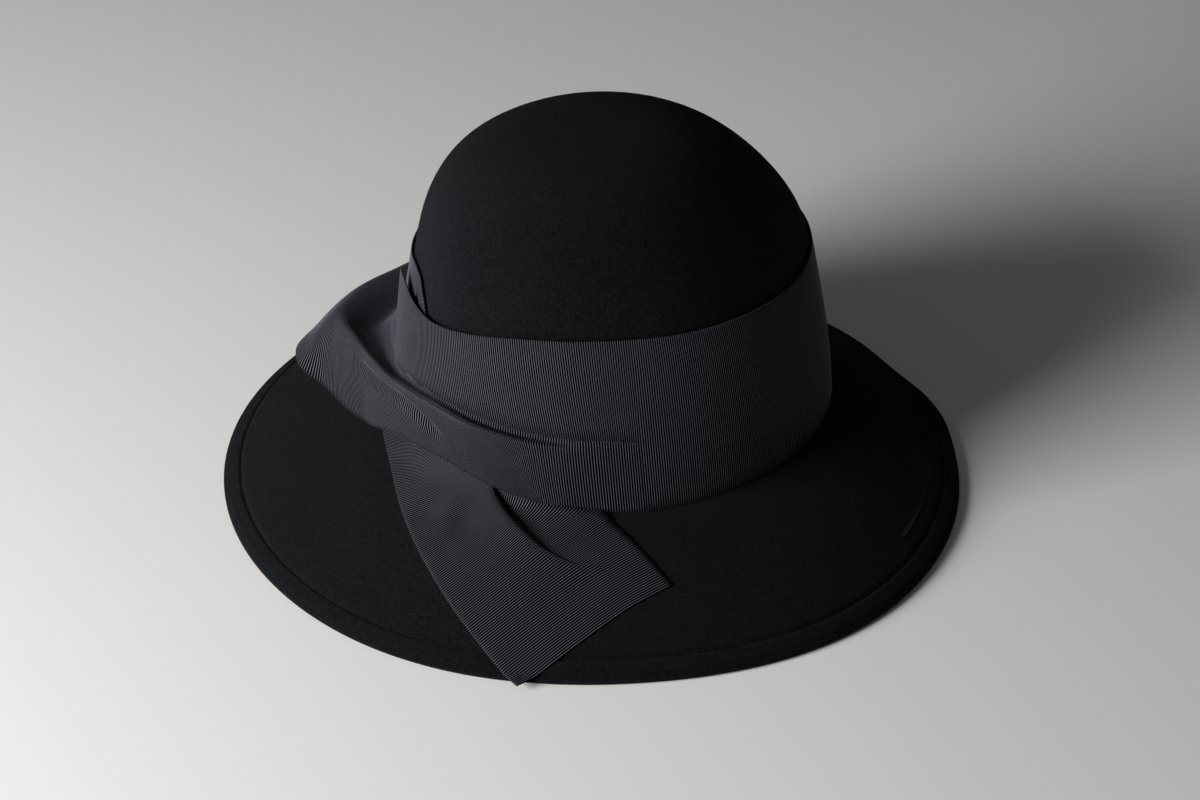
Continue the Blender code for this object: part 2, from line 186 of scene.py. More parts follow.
# %% Smooth reading of a table
def smooth_column(table, column, at, key=0):
    """Cubic between neighbouring rows of a table, read at the places given.

    The slope at a row is the harmonic mean of the slopes on its two sides.
    """
    x = np.array([row[key] for row in table], float)
    y = np.array([row[column] for row in table], float)
    step = np.diff(x)
    rise = np.diff(y) / step
    slope = np.zeros(len(x))
    same = rise[:-1] * rise[1:] > 0
    after = 2 * step[1:] + step[:-1]
    before = step[1:] + 2 * step[:-1]
    left = np.where(same, rise[:-1], 1.0)
    right = np.where(same, rise[1:], 1.0)
    slope[1:-1] = np.where(same, (after + before) / (after / left + before / right), 0.0)
    slope[0] = rise[0]
    slope[-1] = rise[-1]
    at = np.clip(np.asarray(at, float), x[0], x[-1])
    i = np.clip(np.searchsorted(x, at, side="right") - 1, 0, len(step) - 1)
    h = step[i]
    t = (at - x[i]) / h
    return (
        y[i] * (1 + 2 * t) * (1 - t) ** 2
        + slope[i] * h * t * (1 - t) ** 2
        + y[i + 1] * t * t * (3 - 2 * t)
        + slope[i + 1] * h * t * t * (t - 1)
    )


def turn_apart(angle, centre):
    """Degrees from centre to angle, the short way round."""
    return (np.asarray(angle) - centre + 180.0) % 360.0 - 180.0


def rise_between(x, low, high):
    """0 below low, 1 above high, and a smooth step between them."""
    t = np.clip((x - low) / (high - low), 0.0, 1.0)
    return t * t * (3 - 2 * t)


# %% [markdown]
# ## The shape of the block
# The crown is an oval that shrinks upwards along a superellipse, leans a little to the front and has a few
# soft dents. The brim is an oval set forward of the crown, and falls to the table along a power curve.


# %% Crown and brim as functions
def crown_share(height_share):
    """(1 - h^p)^(1/q): the crown's reach at a share h of its height."""
    h = np.clip(height_share, 0.0, 1.0)
    return np.maximum(1.0 - h**CROWN_TOP_FULLNESS, 0.0) ** (1.0 / CROWN_SIDE_FULLNESS)


def crown_radius(angle, up, inside=0.0):
    """Distance of the wall from the crown's axis: an oval times crown_share, plus bell-shaped dents."""
    a = np.radians(angle)
    h = np.clip(np.asarray(up, float) / (CROWN_HEIGHT - inside), 0.0, 1.0)
    oval = 1.0 / np.sqrt(
        (np.cos(a) / (OUTER_LENGTH - inside)) ** 2 + (np.sin(a) / (OUTER_WIDTH - inside)) ** 2
    )
    radius = oval * crown_share(h)
    for _, centre, at, spread, tall, depth in CROWN_DENTS:
        bell = np.exp(-((turn_apart(angle, centre) / spread) ** 2) - ((h - at) / tall) ** 2)
        radius = radius + depth * HEAD_WIDTH * bell * crown_share(h)
    return radius


def brim_radius(angle):
    """Distance of the brim's edge from the crown's axis.

    It is where a ray meets an oval that is set forward, plus a few bell-shaped waves.
    """
    a = np.radians(angle)
    back = -np.cos(a)
    half_width = BRIM_WIDTH / 2
    half_length = BRIM_LENGTH / 2
    square = (np.sin(a) / half_width) ** 2 + (back / half_length) ** 2
    cross = back * BRIM_FORWARD / half_length**2
    rest = (BRIM_FORWARD / half_length) ** 2 - 1.0
    radius = (-cross + np.sqrt(cross**2 - square * rest)) / square
    for _, centre, spread, reach in BRIM_WAVES:
        radius = radius + reach * BRIM_LENGTH * np.exp(-((turn_apart(angle, centre) / spread) ** 2))
    return radius


def outline_middle():
    """Middle of the brim's outline in plan, measured from the crown's axis; the origin lies below it."""
    angle = np.linspace(0.0, 360.0, 72, endpoint=False)
    radius = brim_radius(angle)
    x = radius * np.sin(np.radians(angle))
    y = -radius * np.cos(np.radians(angle))
    return (x.max() + x.min()) / 2, (y.max() + y.min()) / 2


MIDDLE_X, MIDDLE_Y = outline_middle()


def place(angle, radius, up):
    """World points of (angle, radius, height) round the crown's axis, which leans as it rises."""
    a = np.radians(angle)
    share = np.maximum(up, 0.0) / CROWN_HEIGHT
    x = radius * np.sin(a) - CROWN_LEAN_SIDE * share - MIDDLE_X
    y = -radius * np.cos(a) - CROWN_LEAN_FRONT * share - MIDDLE_Y
    return np.stack(np.broadcast_arrays(x, y, BRIM_DROP + up), axis=-1)


def off_wall(angle, out, up):
    """World points at a distance out from the crown's wall and a height up above the join."""
    return place(angle, crown_radius(angle, np.maximum(up, 0.0)) + out, up)


def brim_up(angle, out):
    """Height of the brim's upper face above the join: -drop * q^bell, q being the share of the way out."""
    foot = crown_radius(angle, 0.0)
    q = np.clip(out / (brim_radius(angle) - foot), 0.0, 1.0)
    return -(BRIM_DROP - HEM_THICKNESS) * q**BRIM_BELL


print("outline middle", round(MIDDLE_X, 4), round(MIDDLE_Y, 4))


# %% [markdown]
# ## From points to a mesh
# A grid of points becomes quads between neighbours. A closed skin also needs its poles and its rims, so one
# helper makes the quads of a grid, and another turns points and faces into a Blender object.


# %% Mesh helpers
def grid_quads(rows, columns, closed=False):
    """Quads between neighbouring points of a grid; with closed=True the last column meets the first."""
    r = np.arange(rows - 1)[:, None]
    c = np.arange(columns if closed else columns - 1)[None]
    d = (c + 1) % columns
    near = (r * columns + c, r * columns + d)
    far = ((r + 1) * columns + d, (r + 1) * columns + c)
    return np.stack(np.broadcast_arrays(*near, *far), axis=-1)


def make_piece(name, points, faces, material, uv=None):
    """A smooth mesh object from points and lists of faces, with an optional UV for each point."""
    mesh = bpy.data.meshes.new(name)
    mesh.from_pydata(points.tolist(), [], faces)
    mesh.polygons.foreach_set("use_smooth", np.ones(len(mesh.polygons), bool))
    if uv is not None:
        corner = np.empty(len(mesh.loops), np.int32)
        mesh.loops.foreach_get("vertex_index", corner)
        mesh.uv_layers.new(name="cloth").data.foreach_set("uv", uv[corner].ravel())
    mesh.materials.append(material)
    mesh.update()
    piece = bpy.data.objects.new(name, mesh)
    bpy.context.scene.collection.objects.link(piece)
    print(f"{name}: {len(mesh.polygons)} faces")
    return piece


def grid_normals(grid, outward):
    """Unit normals of a grid of points, turned to the side that outward points to."""
    normal = np.cross(np.gradient(grid, axis=1), np.gradient(grid, axis=0))
    normal /= np.maximum(np.linalg.norm(normal, axis=-1, keepdims=True), 1e-12)
    side = np.sign((normal * outward).sum(-1, keepdims=True))
    return normal * np.where(side == 0, 1.0, side)


def make_cloth(name, middle, outward, relief, uv, material, kept=None):
    """A closed ribbon about a grid of middle points: front = middle + normal * (t / 2 + relief)."""
    rows, columns = middle.shape[:2]
    normal = grid_normals(middle, outward)
    front = middle + normal * (RIBBON / 2 + relief)[..., None]
    back = middle - normal * (RIBBON / 2)
    quads = grid_quads(rows, columns)
    quads = quads.reshape(-1, 4) if kept is None else quads[kept]
    count = rows * columns
    a, b = quads.ravel(), np.roll(quads, -1, axis=1).ravel()
    lone = ~np.isin(b.astype(np.int64) * count + a, a.astype(np.int64) * count + b)
    a, b = a[lone], b[lone]
    faces = np.concatenate([quads, quads[:, ::-1] + count, np.stack([a, a + count, b + count, b], axis=1)])
    first = quads[0]
    points = np.concatenate([front.reshape(-1, 3), back.reshape(-1, 3)])
    facing = np.cross(points[first[1]] - points[first[0]], points[first[2]] - points[first[1]])
    if facing @ normal.reshape(-1, 3)[first[0]] < 0:
        faces = faces[:, ::-1]
    used, faces = np.unique(faces, return_inverse=True)
    both = np.concatenate([uv.reshape(-1, 2)] * 2)
    return make_piece(name, points[used], faces.reshape(-1, 4).tolist(), material, both[used])


# %% [markdown]
# ## Materials
# Wool felt is a mat of dark fibres: no gloss, a faint pale bloom at grazing angles, small clouds of tone
# and a fine nap. The ribbon is woven with thick cross threads. Its colour paints light and shade on them:
# the top of each thread is painted light, as if it caught the lamp, and the groove beside it is painted
# nearly black shade. This lies on top of the ribs' real relief, so the ribs carry most of the ribbon's
# look.


# %% Node helpers
def add_node(tree, kind, **values):
    """A node with its properties set by name, and its input sockets by name with spaces as underscores."""
    node = tree.nodes.new(kind)
    for key, value in values.items():
        if hasattr(node, key):
            setattr(node, key, value)
        else:
            node.inputs[key.replace("_", " ")].default_value = value
    return node


def new_material(name):
    """An empty node material: its tree, its Principled shader and itself."""
    material = bpy.data.materials.new(name)
    material.use_nodes = True
    tree = material.node_tree
    tree.nodes.clear()
    shader = tree.nodes.new("ShaderNodeBsdfPrincipled")
    output = tree.nodes.new("ShaderNodeOutputMaterial")
    tree.links.new(shader.outputs["BSDF"], output.inputs["Surface"])
    return tree, shader, material


def nap_group():
    """Group: clouds of tone and a fine nap. Puts out a mottle from 0 to 1 and a height for a Bump node."""
    group = bpy.data.node_groups.new("cloth nap", "ShaderNodeTree")
    group.interface.new_socket("Vector", in_out="INPUT", socket_type="NodeSocketVector")
    group.interface.new_socket("Cloud size", in_out="INPUT", socket_type="NodeSocketFloat")
    group.interface.new_socket("Fibre size", in_out="INPUT", socket_type="NodeSocketFloat")
    group.interface.new_socket("Mottle", in_out="OUTPUT", socket_type="NodeSocketFloat")
    group.interface.new_socket("Height", in_out="OUTPUT", socket_type="NodeSocketFloat")
    start = group.nodes.new("NodeGroupInput")
    end = group.nodes.new("NodeGroupOutput")
    clouds = add_node(group, "ShaderNodeTexNoise", Detail=5.0, Roughness=0.62)
    fibres = add_node(group, "ShaderNodeTexNoise", Detail=3.0, Roughness=0.7, Distortion=1.2)
    blend = add_node(group, "ShaderNodeMix", data_type="FLOAT")
    blend.inputs["Factor"].default_value = 0.55
    for node, size in ((clouds, "Cloud size"), (fibres, "Fibre size")):
        group.links.new(start.outputs["Vector"], node.inputs["Vector"])
        group.links.new(start.outputs[size], node.inputs["Scale"])
    group.links.new(clouds.outputs["Fac"], blend.inputs["A"])
    group.links.new(fibres.outputs["Fac"], blend.inputs["B"])
    group.links.new(blend.outputs["Result"], end.inputs["Mottle"])
    group.links.new(fibres.outputs["Fac"], end.inputs["Height"])
    return group


NAP = nap_group()


# %% Felt
def felt_material(name, dark, light, cloud, fibre):
    """Felt: mottled between two near blacks, rough, with a soft sheen and a fine nap for its bump."""
    tree, shader, material = new_material(name)
    coords = tree.nodes.new("ShaderNodeTexCoord")
    nap = tree.nodes.new("ShaderNodeGroup")
    nap.node_tree = NAP
    nap.inputs["Cloud size"].default_value = cloud
    nap.inputs["Fibre size"].default_value = fibre
    tree.links.new(coords.outputs["Object"], nap.inputs["Vector"])
    ramp = tree.nodes.new("ShaderNodeValToRGB")
    ramp.color_ramp.elements[0].position = 0.40
    ramp.color_ramp.elements[0].color = (*dark, 1.0)
    ramp.color_ramp.elements[1].position = 0.61
    ramp.color_ramp.elements[1].color = (*light, 1.0)
    tree.links.new(nap.outputs["Mottle"], ramp.inputs["Fac"])
    tree.links.new(ramp.outputs["Color"], shader.inputs["Base Color"])
    bump = add_node(tree, "ShaderNodeBump", Strength=1.0, Distance=0.0016)
    tree.links.new(nap.outputs["Height"], bump.inputs["Height"])
    tree.links.new(bump.outputs["Normal"], shader.inputs["Normal"])
    shader.inputs["Roughness"].default_value = 0.95
    shader.inputs["Specular IOR Level"].default_value = 0.05
    shader.inputs["Sheen Weight"].default_value = 0.032
    shader.inputs["Sheen Roughness"].default_value = 0.5
    shader.inputs["Sheen Tint"].default_value = (0.8, 0.87, 1.0, 1.0)
    return material


FELT_DARK = (0.0001, 0.0001, 0.0002)
FELT_LIGHT = (0.0092, 0.0099, 0.0123)
FELT_CLOUD = 640.0
FELT_FIBRE = 1300.0
FELT_FINISH = felt_material("wool felt", FELT_DARK, FELT_LIGHT, FELT_CLOUD, FELT_FIBRE)


# %% Ribbon
def ribbon_material(name, groove_shade, thread_highlight):
    """Ribbon: the UV's first number counts ribs; each rib's colour runs from painted groove shade to a
    painted thread highlight and back.
    """
    tree, shader, material = new_material(name)
    cloth = add_node(tree, "ShaderNodeUVMap", uv_map="cloth")
    split = tree.nodes.new("ShaderNodeSeparateXYZ")
    turn = add_node(tree, "ShaderNodeMath", operation="MULTIPLY")
    turn.inputs[1].default_value = math.tau
    wave = add_node(tree, "ShaderNodeMath", operation="COSINE")
    # painted light: this rib mask takes each rib from its groove (painted shade) to its thread top (painted
    # highlight)
    lift = add_node(tree, "ShaderNodeMapRange")
    lift.inputs["From Min"].default_value = 0.18
    lift.inputs["From Max"].default_value = 1.0
    tree.links.new(cloth.outputs["UV"], split.inputs["Vector"])
    tree.links.new(split.outputs["X"], turn.inputs[0])
    tree.links.new(turn.outputs["Value"], wave.inputs[0])
    tree.links.new(wave.outputs["Value"], lift.inputs["Value"])
    coords = tree.nodes.new("ShaderNodeTexCoord")
    nap = tree.nodes.new("ShaderNodeGroup")
    nap.node_tree = NAP
    nap.inputs["Cloud size"].default_value = 120.0
    nap.inputs["Fibre size"].default_value = 3200.0
    tree.links.new(coords.outputs["Object"], nap.inputs["Vector"])
    # painted shade and light: the base colour is mixed by the rib mask from the groove's painted shade to
    # the thread's painted highlight
    ribs = add_node(tree, "ShaderNodeMix", data_type="RGBA")
    ribs.inputs["A"].default_value = (*groove_shade, 1.0)
    ribs.inputs["B"].default_value = (*thread_highlight, 1.0)
    tree.links.new(lift.outputs["Result"], ribs.inputs["Factor"])
    worn = add_node(tree, "ShaderNodeMix", data_type="RGBA", blend_type="MULTIPLY")
    worn.inputs["Factor"].default_value = 1.0
    tone = add_node(tree, "ShaderNodeMapRange")
    tone.inputs["To Min"].default_value = 0.72
    tone.inputs["To Max"].default_value = 1.28
    tree.links.new(nap.outputs["Mottle"], tone.inputs["Value"])
    tree.links.new(ribs.outputs["Result"], worn.inputs["A"])
    tree.links.new(tone.outputs["Result"], worn.inputs["B"])
    tree.links.new(worn.outputs["Result"], shader.inputs["Base Color"])
    bump = add_node(tree, "ShaderNodeBump", Strength=0.25, Distance=0.0002)
    tree.links.new(nap.outputs["Height"], bump.inputs["Height"])
    tree.links.new(bump.outputs["Normal"], shader.inputs["Normal"])
    shader.inputs["Roughness"].default_value = 0.55
    # the specular level follows the same rib mask, so the grooves have no gloss
    shine = add_node(tree, "ShaderNodeMath", operation="MULTIPLY")
    shine.inputs[1].default_value = 0.22
    tree.links.new(lift.outputs["Result"], shine.inputs[0])
    tree.links.new(shine.outputs["Value"], shader.inputs["Specular IOR Level"])
    shader.inputs["Sheen Weight"].default_value = 0.01
    shader.inputs["Sheen Roughness"].default_value = 0.45
    shader.inputs["Sheen Tint"].default_value = (0.93, 0.9, 1.0, 1.0)
    return material


# painted shade for the ribbon's grooves and painted highlight for its thread tops, laid over the ribs' real
# relief
GROOVE_PAINTED_SHADE = (0.0002, 0.0002, 0.0003)
THREAD_PAINTED_HIGHLIGHT = (0.084, 0.078, 0.100)
RIBBON_FINISH = ribbon_material("ribbed ribbon", GROOVE_PAINTED_SHADE, THREAD_PAINTED_HIGHLIGHT)

# %% [markdown]
# ## The felt body
# Felt has no seams: crown and brim are one skin that runs over the crown, out along the brim, round the
# turned hem and back up the inside. The rows are close together at the hem, where a line of stitching pulls
# a shallow groove into the upper face.

# %% Felt skin
FELT_COLUMNS = 300
CROWN_ROWS = 74
STITCH_INSIDE = 0.0078
STITCH_DEPTH = 0.90 * MM
STITCH_SPREAD = 0.75 * MM
HEM_ROUND = 1.8 * MM
FAR_SHARE = 0.80
FAR_POWER = 1.15
# millimetres of each of the upper face's last rows inside the brim's edge
NEAR_ROWS = (14, 12.5, 11, 10, 9.2, 8.6, 8.2, 7.8, 7.4, 7.0, 6.4, 5.6, 4.6, 3.6, 2.6, 1.8)
CROWN_WOBBLE = 0.16 * MM
BRIM_WOBBLE = 0.08 * MM


def soft_waves(angle, along, size, seed, count=9):
    """Sum of a few sine waves of random direction and phase, scaled to a given size in metres."""
    draw = np.random.default_rng(seed)
    total = np.zeros(np.broadcast(angle, along).shape)
    for _ in range(count):
        turns = draw.integers(2, 11)
        climb = draw.uniform(-45, 45)
        total = total + np.sin(turns * np.radians(angle) + climb * along + draw.uniform(0, math.tau))
    return total * size / math.sqrt(count)


def felt_rows():
    """(radius, height) of every row of the skin over its columns, from the top out and back in."""
    angle = np.linspace(0.0, 360.0, FELT_COLUMNS, endpoint=False)[None]
    foot = crown_radius(angle, 0.0)
    edge = brim_radius(angle)
    reach = edge - foot
    steps = np.linspace(1.0, 0.0, CROWN_ROWS + 1)[1:, None] * math.pi / 2
    climb = np.sin(steps) ** (2.0 / CROWN_TOP_FULLNESS)
    up = climb * CROWN_HEIGHT
    wobble = soft_waves(angle, up / CROWN_HEIGHT * 0.1, CROWN_WOBBLE, 4)
    crown = crown_radius(angle, up) + wobble * crown_share(climb), up + 0 * foot
    far = np.linspace(0.0, 1.0, 30)[1:] ** FAR_POWER * FAR_SHARE
    shares = foot + far[:, None] * reach
    near = np.array(NEAR_ROWS) * MM
    top_radius = np.concatenate([shares, edge - near[:, None]])
    inside = edge - top_radius
    top_up = brim_up(angle, top_radius - foot)
    top_up = top_up - STITCH_DEPTH * np.exp(-(((inside - STITCH_INSIDE) / STITCH_SPREAD) ** 2))
    top_up = top_up + soft_waves(angle, top_radius, BRIM_WOBBLE, 8) * np.clip(inside / 0.02, 0, 1)
    turn = np.radians(np.linspace(78, -90, 11))[:, None]
    lip_radius = edge - HEM_ROUND + HEM_ROUND * np.cos(turn)
    lip_up = -BRIM_DROP + HEM_THICKNESS / 2 + HEM_THICKNESS / 2 * np.sin(turn) + 0 * foot
    lift_under = [HEM_THICKNESS, HEM_THICKNESS, (HEM_THICKNESS + FELT) / 2, FELT]
    under_inside = np.array([HEM_ROUND + 1.2 * MM, HEM_WIDTH, HEM_WIDTH + 0.5 * MM, HEM_WIDTH + 1.2 * MM])
    under_radius = np.concatenate([edge - under_inside[:, None], foot + far[::-3, None] * reach])
    thick = np.concatenate([lift_under, np.full(len(far[::-3]), FELT)])[:, None]
    under_up = np.maximum(brim_up(angle, under_radius - foot) - thick, -BRIM_DROP)
    inner_climb = np.concatenate([[0.0], climb[-2::-3, 0], [climb[0, 0]]])[:, None]
    inner_up = inner_climb * (CROWN_HEIGHT - FELT)
    inner = crown_radius(angle, inner_up, FELT), inner_up + 0 * foot
    parts = [crown, (top_radius, top_up), (lip_radius, lip_up), (under_radius, under_up), inner]
    return angle, np.concatenate([p[0] for p in parts]), np.concatenate([p[1] for p in parts])


def make_felt():
    """The felt skin: its rows as one closed grid, with a fan over each pole."""
    angle, radius, up = felt_rows()
    rows = radius.shape[0]
    body = place(angle, radius, up).reshape(-1, 3)
    top = place(0.0, 0.0, CROWN_HEIGHT)[None]
    under = place(0.0, 0.0, CROWN_HEIGHT - FELT)[None]
    points = np.concatenate([body, top, under])
    quads = grid_quads(rows, FELT_COLUMNS, closed=True).reshape(-1, 4)[:, ::-1]
    ring = np.arange(FELT_COLUMNS)
    ahead = np.roll(ring, -1)
    last = (rows - 1) * FELT_COLUMNS
    fan = np.stack([np.full(FELT_COLUMNS, len(body)), ring, ahead], axis=1)
    inner_fan = np.stack([np.full(FELT_COLUMNS, len(body) + 1), last + ahead, last + ring], axis=1)
    faces = quads.tolist() + fan.tolist() + inner_fan.tolist()
    return make_piece("felt_skin", points, faces, FELT_FINISH)


felt_skin = make_felt()
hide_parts("felt_body")
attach(felt_skin, "root")


# %% [markdown]
# ## The ribbon band
# The band goes once round the crown. At the front its lower half is pleated under, so its upper half
# becomes a free flap whose left edge stands off the crown. Its ribs run up the crown, and lean a little on
# the flap. Each rib is real geometry: the grid has a few columns for every rib, and the front face rises
# and falls with them.


# %% Ribs and scallops
def rib_relief(ribs):
    """Height of the ribs over the cloth: a cosine of the rib count, from 0 to RIB_HEIGHT."""
    return RIB_HEIGHT * (0.5 + 0.5 * np.cos(math.tau * ribs))


def edge_scallop(ribs, share):
    """How far each rib's end stands out past the ribbon's two edges, as a share of its width."""
    ends = np.where(share < 1e-6, -1.0, np.where(share > 1 - 1e-6, 1.0, 0.0))
    return ends * SCALLOP / RIBBON_WIDTH * np.cos(math.tau * ribs)


# %% Band
BAND_ROWS_LOW = 7
BAND_ROWS_HIGH = 9
BAND_RADIUS = 0.0905
RIBS_PER_DEGREE = math.radians(1.0) * BAND_RADIUS / RIB_PITCH


def make_band():
    """Grid of (rib, height): the low rows exist only past the seam, the high rows all the way round."""
    ribs = np.arange(0, (BAND_TUCK_END - BAND_FLAP[0][0]) * RIBS_PER_DEGREE, 1 / RIB_STEPS)
    turn = BAND_FLAP[0][0] + ribs / RIBS_PER_DEGREE
    seam = np.argmin(np.abs(turn - BAND_SEAM))
    seam -= seam % RIB_STEPS
    low = np.linspace(0, 1, BAND_ROWS_LOW)[:-1, None]
    high = np.concatenate([np.linspace(0, 0.97, BAND_ROWS_HIGH - 1), [1.0]])[:, None]
    share = np.concatenate([low * 0.5, 0.5 + high * 0.5]) + 0 * ribs
    lean = np.where(turn < BAND_SEAM, smooth_column(FLAP_LEAN, 1, turn), 0.0)
    angle = turn + lean * np.clip(1 - share, 0, 0.5) * 2
    free = angle <= BAND_SEAM
    top = np.where(free, smooth_column(BAND_FLAP, 4, angle), smooth_column(BAND_TOP, 1, angle))
    middle = smooth_column(BAND_FLAP, 3, angle)
    top_out = np.where(free, smooth_column(BAND_FLAP, 1, angle), ON_FELT)
    middle_out = np.where(free, smooth_column(BAND_FLAP, 2, angle), ON_FELT)
    bottom = CAD_CLEARANCE / RIBBON_WIDTH
    climb = share * 2 - 1
    up = np.where(climb < 0, bottom + (middle - bottom) * (climb + 1), middle + (top - middle) * climb)
    out = middle_out + (top_out - middle_out) * np.maximum(climb, 0)
    up = up + edge_scallop(ribs, share)
    grid = off_wall(angle, out * RIBBON_WIDTH, up * RIBBON_WIDTH)
    kept = np.ones((len(up) - 1, len(ribs) - 1), bool)
    kept[: BAND_ROWS_LOW - 1, :seam] = False
    kept[: BAND_ROWS_LOW + BAND_ROWS_HIGH - 4, turn[1:] > BAND_INNER_END] = False
    outward = place(angle, 1.0, 0.0) - place(angle, 0.0, 0.0)
    uv = np.stack([ribs + 0 * up, up * RIBBON_WIDTH / RIB_PITCH], axis=-1)
    relief = rib_relief(ribs) + 0 * up
    return make_cloth("ribbon_band", grid, outward, relief, uv, RIBBON_FINISH, kept), turn[seam]


ribbon_band, SEAM_ANGLE = make_band()
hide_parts("crown_band")
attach(ribbon_band, "root")
print("seam at", round(float(SEAM_ANGLE), 2), "degrees")

# %% [markdown]
# ## The side drape
# Below the pleat the ribbon rolls out over the brim, sweeps round the wearer's right and comes back to the
# crown behind. Its cross-section has four named points: top, valley, crest and hem. They change along the
# way, and a cubic runs through them, so the roll opens from nothing at the pleat to a wide flare.

# %% Drape
# rows of the grid: 0 is the top, 1 the valley, 2 the crest and 3 the hem
DRAPE_T = (
    (0, 0.35, 0.65, 0.85)
    + (1, 1.15, 1.3, 1.45, 1.6, 1.75, 1.9)
    + (2, 2.1, 2.2, 2.28, 2.34, 2.4, 2.46, 2.52, 2.6, 2.7, 2.82, 2.94, 3)
)
DRAPE_COUNT_T = 2.2
LEAN_START_T = 1.6
LEAN_SPAN_T = 1.4
# a small second crease on the flare: angle, t
CREASE = (
    (-40, 2.40),
    (-20, 2.40),
    (-10, 2.45),
    (-2, 2.58),
    (4, 2.68),
)
CREASE_DEPTH = 2.4 * MM
CREASE_SPREAD = 0.070
CREASE_FADE_IN = (-40.0, -28.0)
CREASE_FADE_OUT = (-4.0, 4.0)


def through_corners(corners, t):
    """Cubic through several arrays of points at whole values of t, with slopes that never overshoot."""
    steps = np.diff(corners, axis=0)
    product = steps[:-1] * steps[1:]
    total = np.where(np.abs(steps[:-1] + steps[1:]) < 1e-9, 1.0, steps[:-1] + steps[1:])
    inner = np.where(product > 0, 2 * product / total, 0.0)
    slope = np.concatenate([steps[:1], inner, steps[-1:]])
    i = np.clip(np.floor(t).astype(int), 0, len(steps) - 1)
    s = t - i
    row, column = np.indices(s.shape)
    return (
        corners[i, row, column] * (1 + 2 * s) * (1 - s) ** 2
        + slope[i, row, column] * s * (1 - s) ** 2
        + corners[i + 1, row, column] * s * s * (3 - 2 * s)
        + slope[i + 1, row, column] * s * s * (s - 1)
    )


def drape_points(angle, t):
    """(out, up) shares of the drape at angles and at t, from 0 at its top to 3 at its hem."""
    out = np.stack([smooth_column(DRAPE_SECTIONS, c, angle) for c in (1, 3, 5, 7)])
    up = np.stack([smooth_column(DRAPE_SECTIONS, c, angle) for c in (2, 4, 6, 8)])
    return through_corners(out, t), through_corners(up, t)


def drape_rib_angles():
    """Angles of the drape's columns and their ribs, counted from the seam.

    The columns are evenly spaced in plan along a line just below the crest.
    """
    fine = np.linspace(DRAPE_SECTIONS[0][0], SEAM_ANGLE, 3000)
    out, up = drape_points(fine[None], np.full((1, len(fine)), DRAPE_COUNT_T))
    line = off_wall(fine[None], out * RIBBON_WIDTH, up * RIBBON_WIDTH)[0, :, :2]
    length = np.concatenate([[0.0], np.cumsum(np.linalg.norm(np.diff(line, axis=0), axis=1))])
    pitch = (length[-1] - length[-60]) / (fine[-1] - fine[-60]) / RIBS_PER_DEGREE
    ribs = (length - length[-1]) / pitch
    count = int(-ribs[0] * RIB_STEPS)
    wanted = -np.arange(count, -1, -1) / RIB_STEPS
    return np.interp(wanted, ribs, fine), wanted


def make_drape():
    """Grid of (rib, t): the ribs lean below the crest, so the angle grows a little towards the hem."""
    centre, ribs = drape_rib_angles()
    t = np.array(DRAPE_T, float)[:, None] + 0 * centre
    lean = smooth_column(RIB_LEAN, 1, centre)
    below = np.clip(t - LEAN_START_T, 0, LEAN_SPAN_T) / LEAN_SPAN_T
    angle = np.minimum(centre + lean * below, SEAM_ANGLE)
    out, up = drape_points(angle, t)
    ends = rise_between(angle, *CREASE_FADE_IN) * (1 - rise_between(angle, *CREASE_FADE_OUT))
    across = (t - smooth_column(CREASE, 1, angle)) / CREASE_SPREAD
    out = out - CREASE_DEPTH / RIBBON_WIDTH * ends * (1 - 0.6 * across) * np.exp(-(across**2))
    up = up - edge_scallop(ribs, t / 3)
    grid = off_wall(angle, out * RIBBON_WIDTH, up * RIBBON_WIDTH)
    outward = place(angle, 1.0, 0.0) - place(angle, 0.0, 0.0) + np.array([0.0, 0.0, 0.6])
    uv = np.stack([ribs + 0 * t, -t * RIBBON_WIDTH / 3 / RIB_PITCH], axis=-1)
    relief = rib_relief(ribs) + 0 * t
    return make_cloth("ribbon_drape", grid, outward, relief, uv, RIBBON_FINISH)


ribbon_drape = make_drape()
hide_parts("side_drape")
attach(ribbon_drape, "root")

# %% [markdown]
# ## The loose end
# The ribbon's end lies slantwise on the brim. On the real hat a pleat runs into it from under the drape:
# the left part lies over the right part and stands up a little at the fold, and the pleat fades out before
# the cut end. The grid follows the ribs, which are counted from the cut end. Each rib runs from the left
# edge to the fold, back under it, and on to the right edge.

# %% Tail
# rib counted from the cut end, then the left edge's x and y in millimetres from the crown's axis
TAIL_LEFT = (
    (-1, 93.7, -150.6),
    (35, 57.3, -145.3),
    (69, 24.1, -136.0),
    (98, -3.2, -123.9),
    (127, -28.1, -108.3),
    (151, -48.3, -94.4),
    (166, -58.9, -84.0),
)
# rib, then the place where it leaves the left part: at the fold, and later at the crown
TAIL_RIDGE = (
    (-1, 101.6, -96.2),
    (10, 91.3, -94.6),
    (21, 80.6, -92.4),
    (28, 72.0, -99.5),
    (36, 63.1, -103.0),
    (44, 55.1, -104.5),
    (52, 48.0, -104.6),
    (60, 40.9, -103.6),
    (69, 34.6, -101.9),
    (78, 28.2, -99.6),
    (88, 22.8, -97.4),
    (100, 14.5, -98.0),
    (112, 4.8, -99.1),
    (131, -11.9, -98.4),
    (151, -32.5, -92.7),
    (166, -48.4, -84.0),
)
# rib, then the place where it comes out from under the fold
TAIL_UNDER = (
    (-1, 101.9, -94.7),
    (10, 91.6, -93.1),
    (21, 81.2, -91.2),
    (28, 73.6, -96.0),
    (36, 66.3, -99.6),
    (44, 58.4, -102.1),
    (52, 50.6, -102.7),
    (60, 42.7, -102.3),
    (70, 33.6, -100.4),
    (80, 25.5, -98.0),
)
